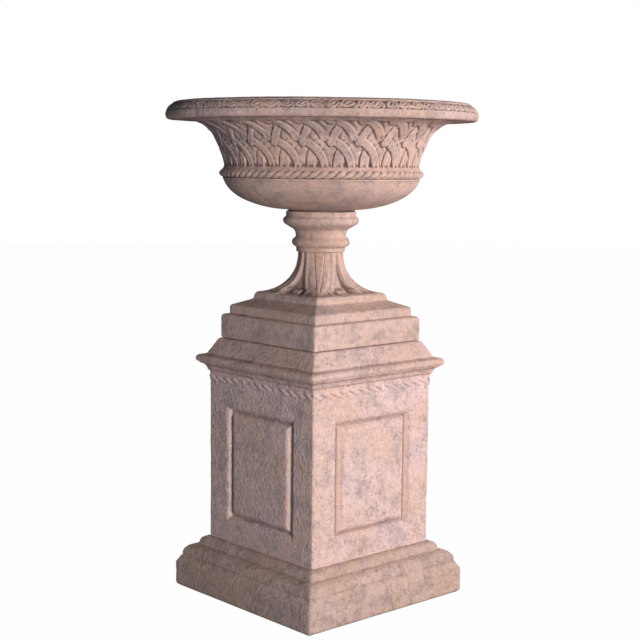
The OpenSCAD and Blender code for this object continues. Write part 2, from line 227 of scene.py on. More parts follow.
def weatherStone(stone, seed, rough=1.0):
    shown = stone.rows[:, 3:4]
    p = stone.points
    waves = weather["waves"] * (0.5 + 0.5 * lumps(p, weather["waveSize"], seed))
    stipple = weather["stipple"] * (0.5 + 0.5 * lumps(p, weather["stippleSize"], seed + 1))
    pits = weather["pits"] * np.maximum(0, lumps(p, weather["pitSize"], seed + 2) - weather["pitShare"])
    arris = np.clip(-stone.hollows(weather["arrisReach"]) / weather["arrisFull"], 0, 1)
    chipped = np.maximum(0, lumps(p, weather["chipSize"], seed + 3) - weather["chipShare"])
    worn = arris * (weather["wear"] + weather["chips"] * chipped * chipped)
    stone.push(-shown * (waves + rough * (stipple + pits) + worn))


def makeMesh(name, points, faces, material):
    mesh = bpy.data.meshes.new(name)
    mesh.from_pydata(points, [], faces)
    mesh.validate()
    piece = bpy.data.objects.new(name, mesh)
    bpy.context.scene.collection.objects.link(piece)
    mesh.materials.append(material)
    return piece


def gridFaces(rowCount, columnCount):
    index = np.arange(rowCount * columnCount).reshape(rowCount, columnCount)
    right = np.roll(index, -1, axis=1)
    above = np.roll(index, -1, axis=0)
    aboveRight = np.roll(above, -1, axis=1)
    return np.stack([index, right, aboveRight, above], axis=2).reshape(-1, 4)


def addLayout(mesh, rowCount, columnCount):
    # unrolled layout for baking: columns across, rows up
    row, column = np.divmod(np.arange(rowCount * columnCount), columnCount)
    u = np.stack([column, column + 1, column + 1, column], axis=1) / columnCount
    v = np.stack([row, row, row + 1, row + 1], axis=1) / rowCount
    layer = mesh.uv_layers.new(name="OFBake")
    layout = np.stack([u, v * 0.97], axis=2)
    layer.data.foreach_set("uv", layout.astype(np.float32).ravel())


def shadeSoftly(mesh, angle):
    mesh.polygons.foreach_set("use_smooth", np.ones(len(mesh.polygons), bool))
    mesh.set_sharp_from_angle(angle=math.radians(angle))


def makeGrid(name, stone, material, sharpAngle=50):
    faces = gridFaces(*stone.z.shape).tolist()
    piece = makeMesh(name, stone.points.reshape(-1, 3).tolist(), faces, material)
    addLayout(piece.data, *stone.z.shape)
    shadeSoftly(piece.data, sharpAngle)
    return piece


# How many points away a hollow is sought, and how deep one has to be to count in full.
hollowMarks = {"near": 3, "nearFull": 0.0011, "wide": 14, "wideFull": 0.0040}


def makeStone(name, stone, material, clean=0):
    # stone with the marks its colours need: hollows, arrises and recesses (for grime and painted shade) and
    # the panel slopes that get a painted highlight
    h = hollowMarks
    piece = makeGrid(name, stone, material)
    deep = np.clip(stone.hollows(h["near"]) / h["nearFull"], -1, 1)
    wide = np.clip(stone.hollows(h["wide"]) / h["wideFull"], -1, 1)
    labels = {"hollow": np.maximum(deep, 0), "arris": np.maximum(-deep, 0), "recess": wide, "clean": clean}
    for label, value in labels.items():
        layer = piece.data.attributes.new(label, "FLOAT", "POINT")
        layer.data.foreach_set("value", (value + np.zeros(stone.z.shape)).astype(np.float32).ravel())
    print("   ", name, "has", 2 * len(piece.data.polygons), "triangles")
    return piece


def place(piece, node, slotName):
    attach(piece, bodyOf[node])
    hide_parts(node)
    return piece


class Wire:
    # a socket that can stand in a sum
    def __init__(self, finish, socket):
        self.finish = finish
        self.socket = socket

    def maths(self, operation, *values):
        return self.finish.add("ShaderNodeMath", {"operation": operation}, dict(enumerate(values)))

    def __add__(self, other):
        return self.maths("ADD", self, other)

    def __sub__(self, other):
        return self.maths("SUBTRACT", self, other)

    def __rsub__(self, other):
        return self.maths("SUBTRACT", other, self)

    def __mul__(self, other):
        return self.maths("MULTIPLY", self, other)

    def __pow__(self, other):
        return self.maths("POWER", self, other)

    __radd__ = __add__
    __rmul__ = __mul__


class Finish:
    # the nodes of a material, or of the world, added one at a time
    def __init__(self, owner):
        self.owner = owner
        self.owner.use_nodes = True
        self.tree = self.owner.node_tree
        self.tree.nodes.clear()
        self.where = self.add("ShaderNodeTexCoord", out="Object")

    def add(self, kind, settings=None, sockets=None, out=0):
        node = self.tree.nodes.new(kind)
        for setting, value in (settings or {}).items():
            if setting == "stops":
                self.setStops(node.color_ramp, value)
            else:
                setattr(node, setting, value)
        for socket, value in (sockets or {}).items():
            if isinstance(value, Wire):
                self.tree.links.new(value.socket, node.inputs[socket])
            else:
                node.inputs[socket].default_value = value
        return Wire(self, node.outputs[out]) if node.outputs else None

    def setStops(self, ramp, stops):
        while len(ramp.elements) < len(stops):
            ramp.elements.new(1.0)
        for element, (position, colour) in zip(ramp.elements, stops):
            element.position = position
            element.color = (*colour, 1.0)

    def noise(self, size, detail=4.0, roughness=0.55, distortion=0.0, where=None):
        sockets = {
            "Vector": where or self.where, "Scale": 1 / size, "Detail": detail,
            "Roughness": roughness, "Distortion": distortion,
        }
        return self.add("ShaderNodeTexNoise", {}, sockets, out="Fac")

    def between(self, value, low, high, toLow=0.0, toHigh=1.0):
        sockets = {"Value": value, "From Min": low, "From Max": high, "To Min": toLow, "To Max": toHigh}
        return self.add("ShaderNodeMapRange", {"clamp": True, "interpolation_type": "SMOOTHSTEP"}, sockets)

    def mix(self, share, first, second, blend="MIX"):
        colours = [c if isinstance(c, Wire) else (*c, 1.0) for c in (first, second)]
        sockets = {"Factor": share, 6: colours[0], 7: colours[1]}
        return self.add("ShaderNodeMix", {"data_type": "RGBA", "blend_type": blend}, sockets, out=2)

    def attribute(self, name):
        return self.add("ShaderNodeAttribute", {"attribute_name": name}, out="Fac")

    def bump(self, strength, distance, height):
        sockets = {"Strength": strength, "Distance": distance, "Height": height}
        return self.add("ShaderNodeBump", {}, sockets, out="Normal")

    def surface(self, sockets):
        shader = self.add("ShaderNodeBsdfPrincipled", {}, sockets)
        self.add("ShaderNodeOutputMaterial", {}, {"Surface": shader})
        return self.owner


stoneLook = {
    "peach": (0.660, 0.440, 0.345),
    "pink": (0.700, 0.485, 0.425),
    "mauve": (0.380, 0.290, 0.280),
    "umber": (0.400, 0.255, 0.190),
    "grimeAndShade": (0.135, 0.086, 0.070),
    "chalk": (0.820, 0.680, 0.630),
    "clean": (0.860, 0.600, 0.480),
    "broad": 0.16, "blotch": 0.045, "streak": 0.018, "speck": 0.0100, "grain": 0.0022,
    "peel": 0.0072, "pit": 0.0055, "bumpHeight": 0.0019, "paintedHighlightShare": 0.65,
}


def castStone(name, shift=0.0, stain=0.5, peel=1.0, dirtAndShade=0.8, tone=(1, 1, 1)):
    f = Finish(bpy.data.materials.new(name))
    offset = f.add("ShaderNodeVectorMath", {"operation": "ADD"}, {0: f.where, 1: (shift, shift, shift)})
    tall = f.add("ShaderNodeVectorMath", {"operation": "MULTIPLY"}, {0: offset, 1: (1.0, 1.0, 0.45)})
    broad = f.noise(stoneLook["broad"], 3.0, where=offset)
    blotch = f.noise(stoneLook["blotch"], 5.0, 0.62, 0.4, where=offset)
    streak = f.noise(stoneLook["streak"], 4.0, 0.62, 0.6, where=tall)
    speck = f.noise(stoneLook["speck"], 4.0, 0.62, 0.3, where=offset)
    fine = f.noise(stoneLook["grain"], 2.0, 0.6, where=offset)
    colour = f.mix(f.between(broad, 0.38, 0.64), stoneLook["peach"], stoneLook["pink"])
    washed = f.between(blotch * 0.75 + broad * 0.25, 0.50 - 0.10 * stain, 0.70 - 0.10 * stain)
    colour = f.mix(washed * 0.60, colour, stoneLook["mauve"])
    spotted = f.between(streak * 0.6 + speck * 0.4, 0.515, 0.64) * f.between(broad + blotch, 0.80, 1.10)
    colour = f.mix(spotted * (0.55 * stain + 0.25), colour, stoneLook["umber"])
    colour = f.mix(f.between(speck, 0.50, 0.72) * 0.26, colour, stoneLook["grimeAndShade"])
    colour = f.mix(f.between(speck, 0.49, 0.30) * 0.30, colour, stoneLook["chalk"])
    hollow = f.attribute("hollow")
    recess = f.attribute("recess")
    arris = f.attribute("arris")
    # Partly real grime and partly painted shade: hollows and recesses are darkened with the grime colour, as
    # if shade fell in them.
    hollowGrimeAndShade = f.between(hollow + recess * 0.55 + (blotch - 0.5) * 0.7, 0.08, 0.95)
    colour = f.mix(hollowGrimeAndShade * dirtAndShade, colour, stoneLook["grimeAndShade"])
    rubbed = f.between(arris + (speck - 0.5) * 0.9, 0.25, 0.95)
    colour = f.mix(rubbed * 0.45, colour, stoneLook["chalk"])
    # Painted highlight: the marked panel slopes are given a lighter colour, as if lit.
    colour = f.mix(f.attribute("clean") * stoneLook["paintedHighlightShare"], colour, stoneLook["clean"])
    colour = f.mix(1.0, colour, tone, "MULTIPLY")
    rough = f.between(blotch, 0.3, 0.7, 0.93, 0.80)
    peelHeight = f.noise(stoneLook["peel"], 2.0, 0.5, where=offset)
    grainHeight = f.between(fine, 0.25, 0.75)
    pit = f.between(f.noise(stoneLook["pit"], 1.0, 0.4, where=offset), 0.36, 0.26)
    height = peelHeight * (1.6 * peel) + grainHeight * 0.24 - pit * (0.7 * peel)
    bump = f.bump(0.9, stoneLook["bumpHeight"], height)
    return f.surface({
        "Base Color": colour, "Roughness": rough, "Normal": bump,
        "Specular IOR Level": 0.28, "IOR": 1.45,
    })


def metalFinish(name, bright, dull, spots, roughLow, roughHigh, spotSize=0.006):
    f = Finish(bpy.data.materials.new(name))
    cloud = f.noise(0.012, 4.0, 0.6, 0.3)
    spot = f.between(f.noise(spotSize, 5.0, 0.65), 0.54, 0.68)
    colour = f.mix(f.between(cloud, 0.35, 0.68), bright, dull)
    colour = f.mix(spot * 0.7, colour, spots)
    rough = f.between(cloud, 0.3, 0.7, roughLow, roughHigh) + spot * 0.22
    bump = f.bump(0.35, 0.0003, cloud)
    return f.surface({"Base Color": colour, "Roughness": rough, "Metallic": 1 - spot * 0.6, "Normal": bump})


def rubberFinish(name, dark, bloom):
    f = Finish(bpy.data.materials.new(name))
    dust = f.between(f.noise(0.02, 5.0, 0.6), 0.40, 0.72)
    colour = f.mix(dust * 0.6, dark, bloom)
    grain = f.noise(0.0012, 2.0)
    bump = f.bump(0.4, 0.0003, grain)
    return f.surface({"Base Color": colour, "Roughness": 0.62 + dust * 0.25, "Normal": bump})


baseStone = castStone("base_stone", 5.3, 0.55, 1.2, 0.60, (0.91, 0.91, 0.92))
dieStone = castStone("die_stone", 0.0, 0.50, 1.3, 0.45, (1.16, 1.17, 1.27))
capStone = castStone("cap_stone", 9.1, 0.55, 1.2, 0.65, (1.06, 1.05, 1.10))
socleStone = castStone("socle_stone", 3.1, 0.40, 0.8, 0.65, (1.0, 1.0, 1.02))
bowlStone = castStone("bowl_stone", 7.7, 0.75, 0.85, 0.85, (1.05, 1.025, 1.06))
mortar = rubberFinish("bedding_compound", (0.16, 0.125, 0.105), (0.34, 0.27, 0.23))
sealRubber = rubberFinish("seal_rubber", (0.018, 0.018, 0.019), (0.11, 0.10, 0.09))
brass = metalFinish("aged_brass", (0.60, 0.43, 0.17), (0.40, 0.27, 0.11), (0.10, 0.13, 0.09), 0.26, 0.46)
zinc = metalFinish("zinc_steel", (0.60, 0.61, 0.62), (0.42, 0.43, 0.44), (0.26, 0.14, 0.08), 0.30, 0.50)
rodSteel = metalFinish(
    "dowel_rod_steel", (0.46, 0.46, 0.46), (0.30, 0.29, 0.28), (0.21, 0.10, 0.05), 0.34, 0.55)
print("stage 2: stone, brass, steel and rubber are mixed")


dowelSize = {
    "radius": 0.006, "length": 0.060, "gap": 0.001, "ribPitch": 0.0045, "rib": 0.0004, "end": 0.0012,
    "sides": 32, "socketSides": 48, "socketOver": 0.01,
}
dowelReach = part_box("base_dowels")[1].x - dowelSize["radius"]
socketDeep = dowelSize["length"] / 2 + dowelSize["gap"]
socketRadius = dowelSize["radius"] + dowelSize["gap"]


def makeRods(name, stacks, sides, material):
    # closed round rods at the four dowel places; a stack is a list of radii and heights
    points = []
    faces = []
    angles = np.arange(sides) * 2 * math.pi / sides
    for x in (-dowelReach, dowelReach):
        for y in (-dowelReach, dowelReach):
            for rings in stacks:
                start = len(points)
                for radius, z in rings:
                    points += [(x + radius * math.cos(a), y + radius * math.sin(a), z) for a in angles]
                for i in range(len(rings) - 1):
                    for k in range(sides):
                        a = start + i * sides + k
                        b = start + i * sides + (k + 1) % sides
                        faces.append((a, b, b + sides, a + sides))
                faces.append([start + k for k in reversed(range(sides))])
                faces.append([start + (len(rings) - 1) * sides + k for k in range(sides)])
    return makeMesh(name, points, faces, material)


def drillSockets(piece, beds, material):
    # round sockets for the dowels; a bed is a height and 1 if it faces up or -1 if it faces down
    stacks = []
    for z, side in beds:
        ends = sorted((z - side * socketDeep, z + side * dowelSize["socketOver"]))
        stacks.append([(socketRadius, end) for end in ends])
    cutter = makeRods("socket_cutter", stacks, dowelSize["socketSides"], material)
    layer = cutter.data.uv_layers.new(name="OFBake")
    share = np.arange(len(layer.data)) / len(layer.data)
    layout = np.stack([share, 0.985 + 0.01 * (share * 97 % 1)], 1)
    layer.data.foreach_set("uv", layout.astype(np.float32).ravel())
    tool = piece.modifiers.new("sockets", "BOOLEAN")
    tool.operation = "DIFFERENCE"
    tool.solver = "MANIFOLD"
    tool.object = cutter
    bpy.context.view_layer.update()
    cut = bpy.data.meshes.new_from_object(piece.evaluated_get(bpy.context.evaluated_depsgraph_get()))
    piece.modifiers.clear()
    before = len(piece.data.polygons)
    piece.data = cut
    cut.name = piece.name
    shadeSoftly(cut, 50)
    bpy.data.objects.remove(cutter)
    print("   ", piece.name, "is drilled:", before, "faces before and", len(cut.polygons), "after")


baseSize = {
    "plinth": 0.066, "plinthArris": 0.006, "weathering": 0.012, "quirk": 0.002, "quirkHeight": 0.004,
    "roundHeight": 0.027, "roundWidth": 0.029, "fillet": 0.005, "beadHeight": 0.017, "beadWidth": 0.019,
    "step": 0.0115, "hollow": 0.1505, "corner": 0.005, "ease": 0.0018, "rowStep": 0.0034, "columnStep": 0.0034,
}


def makeBase():
    b = baseSize
    low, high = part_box("pedestal_base")
    half = high.x
    roundHalf = half - b["step"]
    beadHalf = roundHalf - b["quirk"] - b["roundWidth"]
    topHalf = beadHalf - b["beadWidth"]
    weatherTop = low.z + b["plinth"] + b["weathering"]
    roundZ = weatherTop + b["quirkHeight"]
    filletZ = roundZ + b["roundHeight"]
    beadZ = filletZ + b["fillet"]
    a = b["plinthArris"]
    section = Section()
    section.lay([(b["hollow"], low.z), (half - a, low.z)], 0.020, weathered=0)
    outside = soften(
        arc(half - a, low.z + a, a, a, -90, 0, 4)
        + arc(half - a, low.z + b["plinth"] - a, a, a, 0, 60, 4)
        + [(roundHalf + b["quirk"], weatherTop), (roundHalf - b["quirk"], roundZ - b["quirk"])]
        + arc(beadHalf + b["quirk"], roundZ, b["roundWidth"], b["roundHeight"], 0, 90, 12)
        + arc(topHalf, beadZ, b["beadWidth"], b["beadHeight"], 0, 90, 9), b["ease"])
    section.lay(outside[1:], b["rowStep"])
    section.lay([(b["hollow"], high.z)], 0.015, weathered=0)
    section.close(0.03)
    stone = Stone(section, Columns(half, b["corner"], [], b["columnStep"]))
    weatherStone(stone, 11)
    piece = makeStone("pedestal_base_cast", stone, baseStone)
    drillSockets(piece, [(high.z, 1)], baseStone)
    place(piece, "pedestal_base", "cast_stone")


makeBase()


dieSize = {
    "fasciaOut": 0.0034, "fascia": 0.010, "rope": 0.017, "ropeOut": 0.0035, "strands": 13,
    "strandSlant": 0.22, "strandDeep": 0.0070, "panelHalf": 0.1245, "panelLow": 0.055, "panelHigh": 0.084,
    "border": [0, 0.0008, 0.0024, 0.0030, 0.0105, 0.0135, 0.0212, 0.0218, 0.0234, 0.0242],
    "borderDeep": [0, 0.0016, 0.0018, 0.0026, 0.0108, 0.0108, 0.0026, 0.0018, 0.0016, 0],
    "hollow": 0.155, "corner": 0.004, "rowStep": 0.0033, "columnStep": 0.0031,
}


def panelDepth(x, z, low, high):
    d = dieSize
    inside = np.minimum(d["panelHalf"] - abs(x), np.minimum(z - low, high - z))
    return np.interp(inside, d["border"], d["borderDeep"])


def strand(along, up, slant, sharp=0.62):
    # rounded twist of a rope: 1 on the crown of each strand and 0 in the grooves between them
    twisted = along + slant * up + 0.10 * np.sin(math.pi * up)
    part = twisted - np.floor(twisted)
    return np.maximum(np.sin(math.pi * part ** 0.8), 0) ** sharp


def makeDie():
    d = dieSize
    low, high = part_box("pedestal_die")
    half = high.x - d["ropeOut"]
    fasciaZ = high.z - d["fascia"]
    ropeZ = fasciaZ - d["rope"] / 2
    panelLow = low.z + d["panelLow"]
    panelHigh = high.z - d["panelHigh"]
    border = d["border"]
    section = Section()
    section.lay([(d["hollow"], low.z)], 0.02, weathered=0)
    section.lay([(half, low.z)], 0.014, weathered=0)
    levels = spread(
        [low.z + 0.001] + [panelLow + b for b in border] + [panelHigh - b for b in reversed(border)]
        + [ropeZ - d["rope"] / 2], d["rowStep"])
    section.lay([(half, z) for z in levels], 1)
    section.lay(arc(half, ropeZ, d["ropeOut"], d["rope"] / 2, -90, 90, 12)[1:], 0.0024)
    flareTurn = (half + 0.0006, high.z - 0.002)
    flare = swoop((half + 0.0004, fasciaZ + 0.0004), flareTurn, (half + d["fasciaOut"], high.z), 6)
    section.lay(flare, 0.0022)
    section.lay([(d["hollow"], high.z)], 0.012, weathered=0)
    section.close(0.04)
    marks = [s * (d["panelHalf"] - b) for s in (-1, 1) for b in (border if s < 0 else border[::-1])]
    columns = Columns(half, d["corner"], sorted(marks), d["columnStep"])
    stone = Stone(section, columns)
    outside = (stone.z > panelLow - 0.001) & (stone.z < panelHigh + 0.001)
    outside &= stone.rows[:, 0:1] > half - 0.0005
    deep = panelDepth(stone.faceX, stone.z, panelLow, panelHigh)
    stone.push(-np.where(outside & (abs(stone.faceX) < d["panelHalf"]), deep, 0))
    up = (stone.z - ropeZ) / (d["rope"] / 2)
    band = (abs(up) < 0.999) & (stone.rows[:, 0:1] > half)
    along = (stone.faceX / (2 * half) + 0.5) * d["strands"]
    twist = strand(along, up, d["strandSlant"], 0.55)
    envelope = np.sqrt(np.maximum(1 - up * up, 0))
    stone.push(-np.where(band, d["strandDeep"] * (1 - twist) * (0.35 + 0.65 * envelope), 0))
    weatherStone(stone, 23)
    # Painted highlight: the side slopes of the panel borders are marked to get a lighter colour, as if lit.
    fromEdge = d["panelHalf"] - abs(stone.faceX)
    outerSlope = (fromEdge > border[2]) & (fromEdge < border[4] - 0.001)
    innerSlope = (fromEdge > border[5] + 0.001) & (fromEdge < border[7])
    fromEnds = np.minimum(stone.z - panelLow, panelHigh - stone.z)
    clean = outside & (outerSlope | innerSlope) & (fromEdge < fromEnds)
    piece = makeStone("pedestal_die_cast", stone, dieStone, clean=clean)
    drillSockets(piece, [(low.z, -1), (high.z, 1)], dieStone)
    place(piece, "pedestal_die", "cast_stone")


makeDie()


capSize = {
    "bedHalf": 0.2005, "under": 0.020, "soffit": 0.007, "nose": 0.022, "quirk": 0.002,
    "coveWidth": 0.006, "coveHeight": 0.004, "ease": 0.0014, "topHalf": 0.177, "topArris": 0.005,
    "hollow": 0.1505, "hollowDeep": 0.025, "drain": 0.020,
    "corner": 0.005, "rowStep": 0.0034, "columnStep": 0.0033,
}


def makeCap():
    c = capSize
    low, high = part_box("pedestal_cap")
    noseHalf = high.x
    noseZ = low.z + c["under"]
    noseR = c["nose"] / 2
    slopeZ = noseZ + c["nose"] + c["quirk"]
    section = Section()
    section.lay([(c["drain"], high.z), (c["drain"], low.z + c["hollowDeep"])], 0.02, 1, 0)
    section.lay([(c["hollow"], low.z + c["hollowDeep"]), (c["hollow"], low.z)], 0.03, 0, 0)
    section.lay([(c["bedHalf"], low.z)], 0.015, 0, 0)
    soffit = noseHalf - c["soffit"]
    outside = soften(
        [(c["bedHalf"] - 0.02, low.z)]
        + swoop((c["bedHalf"], low.z), (c["bedHalf"] + 0.002, noseZ - 0.005), (soffit, noseZ - 0.003), 6)
        + [(soffit + 0.0005, noseZ + 0.0015)]
        + arc(noseHalf - noseR, noseZ + noseR - c["quirk"], noseR, noseR, -50, 75, 12)
        + arc(c["bedHalf"] + c["coveWidth"], slopeZ + 0.001, c["coveWidth"], c["coveHeight"], 250, 185, 5)
        + arc(c["topHalf"], high.z - c["topArris"], c["topArris"], c["topArris"], 20, 90, 4), c["ease"])
    section.lay(outside[2:-1], c["rowStep"])
    section.lay([(c["topHalf"], high.z)], 0.002, 0, 1)
    section.lay([(c["topHalf"] - 0.012, high.z)], 0.004, 0, 0)
    section.lay([(c["drain"] * 2, high.z)], 0.02, 0.5, 0)
    section.close(0.01)
    stone = Stone(section, Columns(noseHalf, c["corner"], [], c["columnStep"]))
    weatherStone(stone, 37)
    piece = makeStone("pedestal_cap_cast", stone, capStone)
    drillSockets(piece, [(low.z, -1)], capStone)
    place(piece, "pedestal_cap", "cast_stone")


makeCap()
print("stage 3: base, die and cap are carved")


socleSize = {
    "slab": 0.061, "slabArris": 0.008, "stepIn": 0.0152, "step": 0.016, "ogee": 0.027, "ogeeWidth": 0.0425,
    "block": 0.014, "blockIn": 0.0085, "neck": 0.057, "neckHeight": 0.100, "flare": 0.092,
    "gapFoot": 0.0421, "gapTop": 0.0040, "coreIn": 0.004, "coreFlare": 0.027, "edge": 0.0085,
    "valley": 0.0034, "ridgeTop": 0.0125, "ridgeFoot": 0.0018,
    "ring": 0.011, "ringOut": 0.004, "torus": 0.025, "torusOut": 0.0153, "scotia": 0.0315, "scotiaR": 0.020,
    "upper": 0.020, "upperOut": 0.0377, "collarIn": 0.0077,
    "hole": 0.0125, "recess": 0.056, "recessHeight": 0.061, "corner": 0.004,
    "bedIn": 0.014, "bedEase": 0.002, "tread": 0.007, "treadHeight": 0.008, "hollow": 0.006, "neckRows": 42,
}


def quarter(t):
    # falls from 1 to 0 along a quarter circle as t goes from 0 to 1
    t = np.clip(t, 0, 1)
    return 1 - np.sqrt(np.maximum(1 - (1 - t) ** 2, 0))


def carveLeaves(stone, neckZ):
    # four folded leaves on the corners of the neck, with a sunk core between them
    s = socleSize
    top = neckZ + s["neckHeight"]
    rows = (stone.z[:, 0] > neckZ - 0.0005) & (stone.z[:, 0] < top + 0.0002) & (stone.rows[:, 0] > 0.02)
    z = stone.z[rows] - neckZ
    across = stone.columns.angle[None, :] * np.ones_like(z)
    up = z / s["flare"]
    blockHalf = stone.blockHalf
    face = s["neck"] + (blockHalf - s["neck"]) * quarter(up)
    diagonal = s["neck"] + (blockHalf * math.sqrt(2) - s["neck"]) * quarter(up)
    square = face / np.cos(across)
    envelope = np.minimum(square, diagonal)
    near = np.clip(0.5 + 0.5 * (diagonal - square) / 0.006, 0, 1)
    envelope = square * near + diagonal * (1 - near) - 0.006 * near * (1 - near) * 0.5
    envelope = np.minimum(envelope, np.minimum(square, diagonal))
    core = s["neck"] - s["coreIn"] + s["coreFlare"] * quarter(z / 0.081)
    gap = s["gapFoot"] - (s["gapFoot"] - s["gapTop"]) * (1 - quarter((z - 0.012) / 0.076))
    offFace = envelope * abs(np.sin(across))
    offRidge = envelope * np.sin(math.pi / 4 - abs(across))
    edge = offFace - gap
    leaf = smooth(edge, -0.0012, 0.0012)
    ridge = s["ridgeFoot"] + (s["ridgeTop"] - s["ridgeFoot"]) * np.clip(z / s["neckHeight"], 0, 1) ** 0.8
    fold = smooth(offRidge, ridge - 0.0012, ridge + 0.0012)
    blade = s["valley"] * smooth(edge, s["edge"] - 0.003, s["edge"] + 0.006) * fold
    crease = 0.0016 * np.exp(-((offRidge - ridge - 0.0012) / 0.0013) ** 2)
    lip = np.clip(1 - z / 0.007, 0, 1)
    bevel = 0.0020 * (1 - smooth(edge, 0.0, 0.004))
    leafR = envelope - (blade + crease) * (1 - 0.7 * lip) - bevel
    bar = (z < 0.009) & (offFace < 0.017)
    coreR = np.where(bar, core + 0.010 * smooth(0.018 - offFace, 0, 0.002), core)
    coreR = np.minimum(coreR, envelope - 0.0005)
    radius = coreR + (leafR - coreR) * leaf
    topBlend = smooth(z, s["neckHeight"] - 0.004, s["neckHeight"])
    radius = radius * (1 - topBlend) + np.minimum(radius, s["neck"] - 0.001) * topBlend
    x = radius * np.sin(across)
    y = -radius * np.cos(across)
    stone.points[rows] = stone.turned(x, y, stone.z[rows])


def makeSocle():
    s = socleSize
    low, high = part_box("socle")
    half = high.x
    recessTop = low.z + s["recessHeight"]
    slabTop = low.z + s["slab"]
    stepHalf = half - s["stepIn"]
    ogeeZ = slabTop + s["step"]
    blockZ = ogeeZ + s["ogee"]
    blockHalf = stepHalf - s["ogeeWidth"]
    blockTop = blockHalf - s["blockIn"]
    neckZ = blockZ + s["block"]
    ringZ = neckZ + s["neckHeight"]
    torusZ = ringZ + s["ring"]
    scotiaZ = torusZ + s["torus"]
    upperZ = scotiaZ + s["scotia"]
    collarZ = upperZ + s["upper"]
    ringR = s["neck"] + s["ringOut"]
    torusR = s["neck"] + s["torusOut"]
    upperR = s["neck"] + s["upperOut"]
    collarR = upperR - s["collarIn"]
    torusHalf = s["torus"] / 2
    upperHalf = s["upper"] / 2
    throat = torusR - torusHalf + 0.003
    a = s["slabArris"]
    section = Section()
    section.lay([(s["hole"], recessTop), (s["recess"], recessTop), (s["recess"], low.z)], 0.02, 1, 0)
    section.lay([(half - s["bedIn"], low.z)], 0.03, 0, 0)
    foot = soften(
        [(half - s["bedIn"], low.z), (half - s["bedEase"], low.z), (half, low.z + s["bedEase"])]
        + arc(half - a, slabTop - a, a, a, 0, 90, 5)
        + [(stepHalf, slabTop), (stepHalf, ogeeZ)]
        + arc(stepHalf - s["tread"], ogeeZ, s["tread"], s["treadHeight"], 15, 70, 5)
        + arc(blockHalf + s["hollow"], blockZ, s["hollow"], s["hollow"], 240, 180, 5)
        + arc(blockTop, blockZ, s["blockIn"], s["block"], 25, 90, 5), 0.0014)
    section.lay(foot[1:], 0.0036)
    section.lay([(blockTop - 0.0002, neckZ + 0.0002)], 1, 1, 1)
    section.lay([(s["neck"], z) for z in np.linspace(neckZ + 0.002, ringZ - 0.0005, s["neckRows"])], 1, 1, 1)
    stem = soften(
        [(s["neck"] - 0.002, ringZ), (ringR, ringZ + 0.0005), (ringR, torusZ)]
        + arc(torusR - torusHalf, torusZ + torusHalf, torusHalf, torusHalf, -65, 65, 11)
        + [(throat, scotiaZ + 0.001)]
        + arc(throat + s["scotiaR"], scotiaZ + 0.005, s["scotiaR"], s["scotiaR"], 180, 134, 8)
        + [(upperR - s["upper"] / 4, upperZ)]
        + arc(upperR - upperHalf, upperZ + upperHalf, upperHalf, upperHalf, -50, 60, 9)
        + [(collarR, collarZ), (collarR, high.z), (collarR - 0.02, high.z)], 0.0012)
    section.lay(stem[:-1], 0.0034, 1, 1)
    section.lay([(s["hole"], high.z)], 0.02, 1, 0)
    section.close(0.045)
    marks = [half * math.tan(math.radians(k)) for k in np.arange(-43.5, 43.6, 0.75)]
    columns = Columns(half, s["corner"], marks, 1.0)
    stone = Stone(section, columns)
    stone.blockHalf = blockTop
    carveLeaves(stone, neckZ)
    weatherStone(stone, 41, 0.6)
    place(makeStone("socle_cast", stone, socleStone), "socle", "cast_stone")


makeSocle()
print("stage 4: the socle and its leaves are carved")


bowlSize = {
    "seat": 0.075, "belly": 0.085, "waist": 0.240, "cable": 0.010, "quirk": 0.002, "flare": 0.007,
    "frieze": 0.064, "lean": 0.0225, "coveHeight": 0.043, "coveWidth": 0.072, "roll": 0.009,
    "rollHeight": 0.014, "widest": 0.017, "underRise": 0.005, "round": 0.035, "flat": 0.027,
    "lip": 0.010, "lipDrop": 0.014, "wall": 0.022, "floor": 0.030, "floorFlat": 0.060, "dish": 0.070,
    "hole": 0.0125, "columns": 640,
    "cableStrands": 74, "cableDeep": 0.0058, "cableSlant": -0.62,
    "repeats": 24, "turn": 0.555, "weaveDeep": 0.0100, "weaveLow": -0.001, "weaveReach": 0.302,
    "ground": 0.58, "groove": 0.40, "ridge": 0.12, "dished": 0.08,
    "rimRepeats": 70, "rimDeep": 0.0042,
}

# Middle lines of the woven straps, from the lowest to the topmost: half width, then places along the
# frieze in repeats, heights from 0 at its foot to 1 under the rim, and how high the strap lies there,
# from 0 at the bottom of the carving to 1 on its face.
straps = {
    "foot": (0.0130, [
        (0.52, 0.42, 0.66), (0.36, 0.30, 0.74), (0.265, 0.19, 0.82),
        (0.235, 0.06, 0.82), (0.23, -0.06, 0.80)]),
    "lowSweep": (0.0108, [
        (0.00, 0.515, 0.70), (0.15, 0.465, 0.84), (0.30, 0.405, 0.93), (0.435, 0.345, 0.95),
        (0.55, 0.270, 0.94), (0.65, 0.180, 0.90), (0.72, 0.07, 0.86), (0.75, -0.06, 0.8)]),
    "riser": (0.0095, [
        (0.31, 0.87, 0.72), (0.20, 0.76, 0.82), (0.09, 0.64, 0.92),
        (0.00, 0.53, 0.95), (-0.055, 0.455, 0.93)]),
    "highSweep": (0.0104, [
        (-0.06, 0.965, 0.86), (0.15, 0.915, 0.97), (0.33, 0.850, 1.00), (0.48, 0.765, 0.98),
        (0.60, 0.675, 0.88), (0.70, 0.60, 0.70), (0.75, 0.560, 0.62)]),
    "tongue": (0.0086, [(-0.21, 1.12, 0.92), (-0.20, 1.03, 0.94), (-0.15, 0.945, 0.94), (-0.08, 0.895, 0.92)]),
}
# Small pockets left between the straps: place, height, and how much deeper than the ground.
pockets = [(0.535, 0.06, 0.0062, 0.0085, 0.45), (0.735, 0.47, 0.0050, 0.0060, 0.25)]


